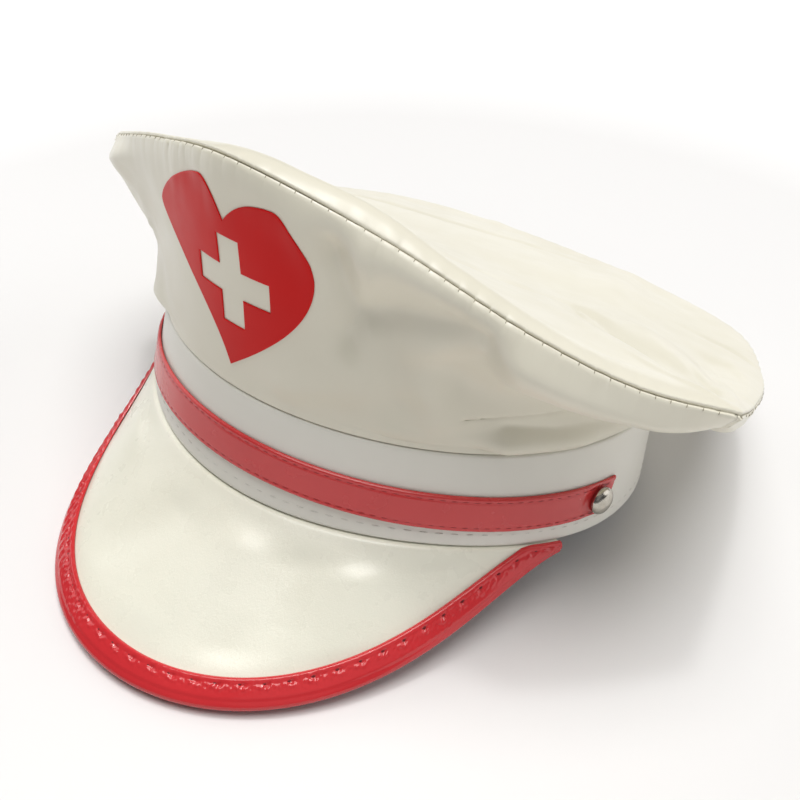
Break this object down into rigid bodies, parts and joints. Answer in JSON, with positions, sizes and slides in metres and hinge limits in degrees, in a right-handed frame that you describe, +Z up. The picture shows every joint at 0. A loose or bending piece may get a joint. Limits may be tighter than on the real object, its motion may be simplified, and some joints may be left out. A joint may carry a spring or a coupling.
{
  "type": "nurse cap",
  "caption": "Peaked nurse cap in ivory vinyl: flared crown with a heart and cross, plain band, red strap with domed rivets, and a sloping visor bound in red.",
  "frame": {"origin": "on the surface the cap stands on, under the middle of the whole cap's box", "axes": "+Z up, -Y the way the wearer looks, +X to the wearer's left; the cap is tipped back so that it stands on the visor's binding and the back of the band"},
  "size_m": [0.2668, 0.2826, 0.1506],
  "materials": {
    "band_vinyl": "smooth satin vinyl, cool white",
    "crown_vinyl": "soft satin vinyl, ivory",
    "visor_vinyl": "fine-grained pearl vinyl, cream",
    "binding_tape": "glossy red tape",
    "strap_vinyl": "glossy dark red vinyl",
    "rivet_metal": "polished nickel",
    "heart_film": "smooth red film"
  },
  "bodies": {
    "root": {"band": "band_vinyl", "crown_front": "crown_vinyl", "crown_back": "crown_vinyl", "crown_top": "crown_vinyl", "visor": "visor_vinyl", "visor_binding": "binding_tape", "strap": "strap_vinyl", "rivet_left": "rivet_metal", "rivet_right": "rivet_metal", "heart_emblem": "heart_film"}
  },
  "joints": []
}
